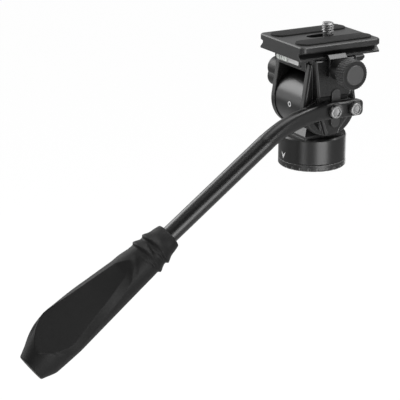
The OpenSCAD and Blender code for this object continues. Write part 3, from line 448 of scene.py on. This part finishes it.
RING_CRESTS = (9.4, 15.2)
RING_WAVES = 3.0
RING_SWAY = 0.6
RING_RISE = 1.04
RING_RISE_SWAY = 0.39
RING_CLIMB = 2.3
RING_CLIMB_SWAY = 0.5
RING_FALL = 0.75
RIDGES = (10.2, 11.9, 16.1, 17.9)
RIDGE_RISE = 0.3
RIDGE_WIDTH = 0.5
RIDGE_SLANT = 0.02
RIDGE_TURN = 10.0
RIDGE_MIDDLE = 8.0
RIDGE_SPAN = 24.0
FOLD_PLACE = 12.3
FOLD_DEPTH = 0.5
FOLD_WIDTH = 0.55
FOLD_SLANT = -0.032
FOLD_TURN = 61.0
FOLD_MIDDLE = 34.0
FOLD_SPAN = 30.0
DENT_PLACE = 21.5
DENT_DEPTH = 0.45
DENT_WIDTH = 2.0
DENT_SLANT = -0.15
DENT_TURN = 50.0
DENT_SPAN = [(8.0, 0.0), (20.0, 1.0), (58.0, 1.0), (72.0, 0.0)]


def grip_section(along):
    """The grip's section at each place along it, as distances across and over the tube's axis.

    The section is an ellipse about its own middle. Half of it runs on an arc from its lowest point to a
    flat band, on a chord over the band, on a chord over the flank and on an arc to the ridge, and the other
    half mirrors it. The flank's two borders slide onto one plane, whose distance across falls with the
    height and grows along the grip, and a fade lets them go at the flank's ends.
    """
    side, top, low = (eased(along, knots) for knots in (GRIP_SIDE, GRIP_TOP, GRIP_LOW))
    turns = (FLANK_LOW, FLANK_HIGH, BAND_TURN)
    start, end, band = (np.radians(eased(along, knots, FLANK_EASE)) for knots in turns)
    middle, height = (top - low) / 2.0, (top + low) / 2.0

    def on_arc(first, last, share):
        turn = first + (last - first) * share
        return np.stack([side * np.cos(turn), middle + height * np.sin(turn)])

    def on_chord(first, last, share):
        return first * (1.0 - share) + last * share

    def on_flank(turn, fade):
        point = on_arc(turn, turn, 0.0)
        plane = FLANK_OUT + FLANK_LEAN * point[1] + FLANK_SPLAY * along[:, None]
        slide = (plane - point[0]) / (FLANK_SLIDE[0] - FLANK_LEAN * FLANK_SLIDE[1])
        return point + eased(along, fade, FLANK_EASE) * slide * np.array(FLANK_SLIDE)[:, None, None]

    foot = start - band
    foot_point = on_arc(foot, foot, 0.0)
    low_point = on_flank(start, LOW_FADE)
    high_point = on_flank(end, HIGH_FADE)
    shift = high_point - on_arc(end, end, 0.0)
    to_ridge = shares(RIDGE_STEPS, endpoint=True)
    half = np.concatenate([
        on_arc(-QUARTER_TURN, foot, shares(BELLY_STEPS)),
        on_chord(foot_point, low_point, shares(BAND_STEPS)),
        on_chord(low_point, high_point, shares(FLANK_STEPS)),
        on_arc(end, QUARTER_TURN, to_ridge) + shift * (1.0 - to_ridge)
    ], axis=2)
    mirrored = half[:, :, -2:0:-1] * np.array([-1.0, 1.0])[:, None, None]
    return np.concatenate([half, mirrored], axis=2)


def collar_relief(along, across, over):
    """How far the collar stands out: two wavy rings and small ridges, less a fold and a dent.

    A ring is a bell that climbs slowly to its crest and falls sharply behind it, and a wave round the
    section sways its place, its climb and its height. Ridges, fold and dent are bells along the grip that
    keep to a span of the angle, lie at their place at one turn and slant away from it.
    """
    lean = np.degrees(np.arctan2(over, np.abs(across)))
    wave = -np.sin(RING_WAVES * np.arctan2(over, across))
    relief = np.zeros_like(across)
    for crest in RING_CRESTS:
        step = along - crest - RING_SWAY * wave
        width = np.where(step < 0.0, RING_CLIMB + RING_CLIMB_SWAY * wave, RING_FALL)
        relief = relief + (RING_RISE + RING_RISE_SWAY * wave) * bell(step / width)
    ridge_span = bell((lean - RIDGE_MIDDLE) / RIDGE_SPAN)
    for ridge in RIDGES:
        step = along - ridge - RIDGE_SLANT * (lean - RIDGE_TURN)
        relief = relief + RIDGE_RISE * ridge_span * bell(step / RIDGE_WIDTH)
    step = along - FOLD_PLACE - FOLD_SLANT * (lean - FOLD_TURN)
    fold_span = bell((lean - FOLD_MIDDLE) / FOLD_SPAN, power=4)
    relief = relief - FOLD_DEPTH * fold_span * bell(step / FOLD_WIDTH)
    step = along - DENT_PLACE - DENT_SLANT * (lean - DENT_TURN)
    return relief - DENT_DEPTH * through(lean, DENT_SPAN) * bell(step / DENT_WIDTH)


def grip_skin():
    """The rubber grip: its section along the tube, pushed out or in by its rims and its collar's relief."""
    along = np.concatenate([
        [place for place, _ in FORE_RIM],
        np.linspace(*COLLAR_RUN, COLLAR_ROWS),
        np.linspace(*FLANK_RUN, FLANK_ROWS),
        [place for place, _ in BUTT_RIM]
    ])
    across, over = grip_section(along)
    along = along[:, None]
    rim = through(along, FORE_RIM + [(FLANK_RUN[1], 0.0)] + BUTT_RIM)
    push = rim + collar_relief(along, across, over)
    gain = 1.0 + push / np.hypot(across, over)
    across, over = across * gain, over * gain
    down = GRIP_START + along
    x = HANDLE_START[0] + across
    y = HANDLE_START[1] - over * math.sin(HANDLE_PITCH) - down * math.cos(HANDLE_PITCH)
    z = HANDLE_START[2] + over * math.cos(HANDLE_PITCH) - down * math.sin(HANDLE_PITCH)
    piece = skin("grip_skin", on_grid(x, y, z), GRIP_RUBBER, "cradle", sharp=9.0)
    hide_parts("grip")


grip_skin()


# Rubber strips

STRIP_SOFT = 0.45
STRIP_SIDES = 120


def strip_pad(name, node):
    """A rubber strip with round ends and a soft upper edge: rings of one outline, drawn in as they rise."""
    low, high, middle = node_box(node)
    half_w, half_l, _ = (high - low) / 2.0
    inset, drop = quarter_round(STRIP_SOFT)
    reach = half_w - np.concatenate([[0.0], inset])[:, None]
    level = np.concatenate([[low[2]], high[2] - drop])[:, None]
    angle = round_angles(STRIP_SIDES)
    end = np.where(np.sin(angle) > 0.0, 1.0, -1.0) * (half_l - half_w)
    grid = on_grid(middle[0] + reach * np.cos(angle), middle[1] + reach * np.sin(angle) + end, level)
    piece = skin(name, grid, STRIP_RUBBER, "plate")
    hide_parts(node)


strip_pad("strip_left_pad", "strip_left")
strip_pad("strip_right_pad", "strip_right")


# Camera screw: a 1/4 inch thread of 20 turns an inch

SCREW_MAJOR = 3.175
SCREW_PITCH = 1.27
SCREW_NECK = 2.5
SCREW_SIDES = 72
THREAD_DEPTH = 0.72
THREAD_LENGTH = 4.6
THREAD_LEAD = 0.02
THREAD_ROWS = 140
GROOVE_SLOPE = 2.5
TIP_BEVEL = 0.5
HEAD_DEPTH = 2.9
HEAD_BEVEL = 0.2
HEAD_LAP = 0.01
COIN_SLOT_DEPTH = 1.0
COIN_SLOT_HALF = 0.6
COIN_EDGE = 0.15
COIN_ARC_STEPS = 40
COIN_EDGE_STEPS = 14


def threaded_screw():
    """The camera screw: rings of a head and a neck, then a thread whose groove turns as it climbs.

    The groove is as deep as the thread in the middle of each pitch, and its sides slope up to the crest.
    """
    low, high, middle = node_box("camera_screw")
    head = (high[0] - low[0]) / 2.0
    head_low = low[2] + COIN_SLOT_DEPTH
    head_top = low[2] + HEAD_DEPTH
    thread_low = high[2] - THREAD_LENGTH
    plain = np.array([
        (head_low - HEAD_LAP, head), (head_low, head), (head_top - HEAD_BEVEL, head),
        (head_top, head - HEAD_BEVEL), (head_top, SCREW_NECK), (thread_low - THREAD_LEAD, SCREW_NECK)
    ])
    climb = np.linspace(thread_low, high[2], THREAD_ROWS)[:, None]
    angle = round_angles(SCREW_SIDES)
    turn = (climb - thread_low) / SCREW_PITCH - angle / FULL_TURN
    groove = np.clip(GROOVE_SLOPE * (0.5 - np.abs(turn - np.floor(turn) - 0.5)), 0.0, 1.0)
    tip = np.clip(climb - high[2] + TIP_BEVEL, 0.0, TIP_BEVEL)
    thread = SCREW_MAJOR - np.maximum(THREAD_DEPTH * groove, tip)
    ray = np.vstack([plain[:, 1:] * np.ones_like(angle), thread])
    level = np.vstack([plain[:, :1], climb])
    grid = on_grid(middle[0] + ray * np.cos(angle), middle[1] + ray * np.sin(angle), level)
    piece = skin("threaded_screw", grid, BRIGHT_STEEL, "screw", sharp=50.0)
    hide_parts("camera_screw")


def coin_foot(name, side):
    """Half of the screw head's underside: an arc closed by the coin slot's edge, drawn in below."""
    low, high, middle = node_box("camera_screw")
    head = (high[0] - low[0]) / 2.0
    start = math.asin(COIN_SLOT_HALF / head)
    turn = np.linspace(start, math.pi - start, COIN_ARC_STEPS)
    reach = head * math.cos(start)
    edge = np.linspace(-reach, reach, COIN_EDGE_STEPS)[1:-1]
    across = np.concatenate([head * np.cos(turn), edge])
    away = np.concatenate([head * np.sin(turn), np.full_like(edge, COIN_SLOT_HALF)])
    level = low[2] + np.array([0.0, COIN_EDGE, COIN_SLOT_DEPTH])[:, None]
    inward = 1.0 - np.array([COIN_EDGE / head, 0.0, 0.0])[:, None]
    grid = on_grid(middle[0] + side * across * inward, middle[1] + side * away * inward, level)
    piece = skin(name, grid, BRIGHT_STEEL, "screw")
    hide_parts("camera_screw")


threaded_screw()
coin_foot("coin_foot_front", 1.0)
coin_foot("coin_foot_rear", -1.0)


# Handle bolts: a hexagon's shares are of its own width

BOLT_SHANK = 1.5
BOLT_TIP = 0.2
BOLT_HEAD_DEPTH = 3.6
BOLT_CROWN = 0.7
BOLT_FOOT = 0.15
BOLT_RIM = 0.05
BOLT_SIDES = 96
HEX_HALF_FLATS = 2.05
HEX_DEPTH = 1.0
HEX_MOUTH_SHARE = 1.05
HEX_MOUTH_DEPTH = 0.1
HEX_FLOOR_SHARE = 0.9
HEX_FLOOR_DEPTH = 0.05


def socket_bolt(name, place):
    """A button-headed bolt along x: rings of a shank and a head, then the rings of a six-sided socket.

    The socket's radius is its half width over the cosine of the angle from the nearest flat's middle.
    """
    low, high, middle = node_box("handle_bolts")
    head = (high[2] - low[2]) / 2.0
    y = low[1] + head if place == "rear" else high[1] - head
    top = high[0]
    seat = top - BOLT_HEAD_DEPTH
    floor = top - HEX_DEPTH
    foot = [
        (low[0], BOLT_SHANK - BOLT_TIP), (low[0] + BOLT_TIP, BOLT_SHANK), (seat, BOLT_SHANK),
        (seat, head - BOLT_FOOT), (seat + BOLT_FOOT, head), (seat + BOLT_FOOT + BOLT_RIM, head)
    ]
    inset, drop = quarter_round(BOLT_CROWN)
    turned = np.vstack([foot, np.stack([top - drop, head - inset], axis=1)])
    socket = np.array([
        (top, HEX_MOUTH_SHARE), (top - HEX_MOUTH_DEPTH, 1.0), (floor, 1.0),
        (floor - HEX_FLOOR_DEPTH, HEX_FLOOR_SHARE)
    ])
    angle = round_angles(BOLT_SIDES)
    sixth = FULL_TURN / 6.0
    hexagon = HEX_HALF_FLATS / np.cos(np.mod(angle, sixth) - sixth / 2.0)
    ray = np.vstack([turned[:, 1:] * np.ones_like(angle), socket[:, 1:] * hexagon])
    level = np.vstack([turned[:, :1], socket[:, :1]])
    grid = on_grid(level, y + ray * np.cos(angle), middle[2] + ray * np.sin(angle))
    piece = skin(name, grid, BRIGHT_STEEL, "cradle", sharp=35.0)
    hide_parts("handle_bolts")


socket_bolt("bolt_rear", "rear")
socket_bolt("bolt_front", "front")


# Level

LINE_HALF = 0.16
LINE_PROUD = 0.015
LINE_SUNK = 0.02
LINE_SIDES = 64
BUBBLE_HALF = 0.75
BUBBLE_HALF_TURN = 0.26
BUBBLE_LEAN = math.radians(128.0)
BUBBLE_RISE = 0.03
BUBBLE_DOME = 0.9
BUBBLE_ROWS = 9
MARK_SIDES = 48


def vial_line(name, share):
    """A dark ring printed round the vial: a narrow band of a circle just outside the glass."""
    low, high, middle = node_box("level_vial")
    reach = (high[2] - low[2]) / 2.0
    place = low[0] + share * (high[0] - low[0])
    x = place + np.array([-LINE_HALF, -LINE_HALF, LINE_HALF, LINE_HALF])[:, None]
    ray = reach + np.array([-LINE_SUNK, LINE_PROUD, LINE_PROUD, -LINE_SUNK])[:, None]
    angle = round_angles(LINE_SIDES)
    grid = on_grid(x, middle[1] + ray * np.cos(angle), middle[2] + ray * np.sin(angle))
    skin(name, grid, MARK_BLACK, "cradle")


def vial_bubble():
    """The vial's bubble: a lens laid on the upper rear of the glass, circles shrinking as they rise, drawn
    in white as a painted highlight.
    """
    low, high, middle = node_box("level_vial")
    reach = (high[2] - low[2]) / 2.0
    share = np.linspace(1.0, 0.0, BUBBLE_ROWS)[:-1, None]
    angle = round_angles(MARK_SIDES, -FULL_TURN)
    turn = BUBBLE_HALF_TURN * share * np.sin(angle) + BUBBLE_LEAN
    ray = reach + BUBBLE_RISE * np.sqrt(1.0 - BUBBLE_DOME * share ** 2)
    x = middle[0] + BUBBLE_HALF * share * np.cos(angle)
    grid = on_grid(x, middle[1] + ray * np.cos(turn), middle[2] + ray * np.sin(turn))
    # The bubble's white is a painted highlight; the bubble itself has no colour of its own.
    skin("vial_bubble", grid, WHITE_PRINT_AND_HIGHLIGHT, "cradle")


vial_line("vial_line_left", share=0.4)
vial_line("vial_line_right", share=0.62)
vial_bubble()


# Index marks, laid just outside the paint

MARK_PROUD = 0.03
ARROW_HALF = 1.9
ARROW_FOOT = 4.8
ARROW_HEAD = 8.6
ARROW_NOTCH = 1.7
ARROW_BLUNT = 0.12
ARROW_ROWS = 9
ARROW_COLUMNS = 25
TILT_HEIGHT = joints["tilt"]["pos_m"][2] / MM
DRUM_REACH = 15.5
RING_MARK_PLACE = 1.6
RING_MARK_INNER = 0.8
RING_MARK_OUTER = 1.45
RING_MARK_ROWS = 5


def pan_arrow():
    """A swallow-tailed arrow on the pan housing's rear: from a point at its foot to two blunt tails."""
    low, high, _ = node_box("pan_housing")
    reach = (high[0] - low[0]) / 2.0 + MARK_PROUD
    share = np.linspace(-1.0, 1.0, ARROW_COLUMNS)[None, :]
    climb = np.linspace(0.0, 1.0, ARROW_ROWS)[:, None]
    bottom = ARROW_FOOT + (ARROW_HEAD - ARROW_BLUNT - ARROW_FOOT) * np.abs(share)
    over = ARROW_HEAD - ARROW_NOTCH * (1.0 - np.abs(share))
    x = ARROW_HALF * share
    grid = on_grid(x, -np.sqrt(reach ** 2 - x ** 2), bottom + (over - bottom) * climb)
    faces = grid_faces(ARROW_ROWS, ARROW_COLUMNS, closed=False)
    sheet("pan_arrow", grid.reshape(-1, 3), faces, WHITE_PRINT_AND_HIGHLIGHT, "pan_body")


def tilt_ring():
    """A small ring on the drum's rear: circles of growing radius laid on the drum's curve."""
    reach = DRUM_REACH + MARK_PROUD
    size = np.linspace(RING_MARK_INNER, RING_MARK_OUTER, RING_MARK_ROWS)[:, None]
    angle = round_angles(MARK_SIDES, -FULL_TURN)
    turn = size * np.sin(angle) / reach
    x = RING_MARK_PLACE + size * np.cos(angle)
    grid = on_grid(x, -reach * np.cos(turn), TILT_HEIGHT + reach * np.sin(turn))
    skin("tilt_ring", grid, WHITE_PRINT_AND_HIGHLIGHT, "pan_body", ends=(False, False))


pan_arrow()
tilt_ring()


# Studio, in metres and watts: each lamp has a name, a place, an aim, a size and a power

FLOOR_REACH = 12.0
FLOOR_LEVEL = -0.45
FLOOR_GREY = (0.46, 0.46, 0.46, 1.0)
FLOOR_ROUGH = 0.9
FLOOR_GLOW = 1.08
GLOW_SHARE = 0.9
GLINT_WAY = (0.91, -0.41, 0.0)
GLINT_RUN = (-0.2, 0.7)
GLINT_LEVELS = (0.14, 0.42)
SURROUND_WAY = (0.80, -0.40, 0.45)
SURROUND_RUN = (0.0, 0.95)
SURROUND_LEVELS = (0.64, 0.14)
SURROUND_PLAIN = 0.27
LAMPS = (
    ("lamp_over", (0.10, 0.10, 1.15), (0.0, -0.03, 0.03), (1.0, 1.0), 7.0),
    ("lamp_high", (0.38, 0.58, 1.00), (0.0, 0.0, 0.06), (0.6, 0.6), 7.0),
    ("lamp_left", (-0.86, -0.52, 0.55), (0.0, 0.0, 0.04), (1.0, 0.68), 9.5),
    ("lamp_right", (1.10, 0.01, -0.10), (0.0, -0.03, 0.0), (0.72, 0.66), 7.7),
    ("lamp_low", (0.53, -0.95, -0.30), (0.0, 0.0, 0.01), (0.22, 0.3), 0.7),
    ("lamp_back", (-0.93, -0.60, -0.03), (0.0, 0.0, 0.04), (0.8, 0.26), 0.8),
    ("lamp_foot", (0.30, -0.30, -0.38), (0.02, -0.16, -0.06), (0.22, 0.22), 0.25),
    ("lamp_far", (-0.80, 0.80, -0.22), (0.0, -0.02, 0.02), (0.8, 0.6), 3.0),
)


def ray_kinds(tree):
    """Two masks: rays that see the surface straight or through glass, and rays that see it mirrored."""
    rays = tree.nodes.new("ShaderNodeLightPath")
    seen = math_node(tree, "MAXIMUM", rays.outputs["Is Camera Ray"], rays.outputs["Is Transmission Ray"])
    return seen, rays.outputs["Is Glossy Ray"]


def graded(tree, vector, way, run, levels):
    """A value that goes from one level to another as a vector's part along a direction makes its run."""
    ramp = tree.nodes.new("ShaderNodeMapRange")
    for label, value in zip(("From Min", "From Max", "To Min", "To Max"), run + levels):
        ramp.inputs[label].default_value = value
    tree.links.new(dot_node(tree, vector, way), ramp.inputs["Value"])
    return ramp.outputs["Result"]


def white_floor():
    """A floor far below: white where it is seen, graded where it is mirrored, grey to all other light."""
    mesh = bpy.data.meshes.new("floor")
    corners = np.array([(-1, -1, 0), (1, -1, 0), (1, 1, 0), (-1, 1, 0)]) * FLOOR_REACH
    mesh.from_pydata((corners + (0.0, 0.0, FLOOR_LEVEL)).tolist(), [], [(0, 1, 2, 3)])
    floor = bpy.data.objects.new("floor", mesh)
    scene.collection.objects.link(floor)
    material, tree, shader = new_material("floor_white")
    shader.inputs["Base Color"].default_value = FLOOR_GREY
    shader.inputs["Roughness"].default_value = FLOOR_ROUGH
    glow = tree.nodes.new("ShaderNodeEmission")
    glow.inputs["Strength"].default_value = FLOOR_GLOW
    seen, mirrored = ray_kinds(tree)
    spot = tree.nodes.new("ShaderNodeTexCoord")
    level = graded(tree, spot.outputs["Object"], GLINT_WAY, GLINT_RUN, GLINT_LEVELS)
    white = math_node(tree, "MAXIMUM", seen, math_node(tree, "MULTIPLY", mirrored, level))
    mix = tree.nodes.new("ShaderNodeMixShader")
    tree.links.new(math_node(tree, "MULTIPLY", white, GLOW_SHARE), mix.inputs[0])
    tree.links.new(shader.outputs[0], mix.inputs[1])
    tree.links.new(glow.outputs[0], mix.inputs[2])
    tree.links.new(mix.outputs[0], tree.nodes["Material Output"].inputs[0])
    mesh.materials.append(material)


def white_surround():
    """A world: white where it is seen, dimming toward the camera where mirrored, and grey elsewhere."""
    world = bpy.data.worlds.new("surround")
    scene.world = world
    world.use_nodes = True
    tree = world.node_tree
    seen, mirrored = ray_kinds(tree)
    way = tree.nodes.new("ShaderNodeTexCoord")
    level = graded(tree, way.outputs["Generated"], SURROUND_WAY, SURROUND_RUN, SURROUND_LEVELS)
    unmirrored = math_node(tree, "SUBTRACT", 1.0, mirrored)
    direct = math_node(tree, "MULTIPLY", math_node(tree, "MAXIMUM", seen, SURROUND_PLAIN), unmirrored)
    light = tree.nodes["Background"]
    light.inputs["Color"].default_value = (1.0, 1.0, 1.0, 1.0)
    strength = math_node(tree, "ADD", direct, math_node(tree, "MULTIPLY", mirrored, level))
    tree.links.new(strength, light.inputs["Strength"])


def soft_lamp(label, place, aim, size, power):
    """A soft box at a place, turned to its aim."""
    lamp = bpy.data.lights.new(label, "AREA")
    lamp.shape = "RECTANGLE"
    lamp.size, lamp.size_y = size
    lamp.energy = power
    holder = bpy.data.objects.new(label, lamp)
    scene.collection.objects.link(holder)
    holder.matrix_world = facing(place, np.array(place) - np.array(aim))


white_floor()
white_surround()
for lamp in LAMPS:
    soft_lamp(*lamp)
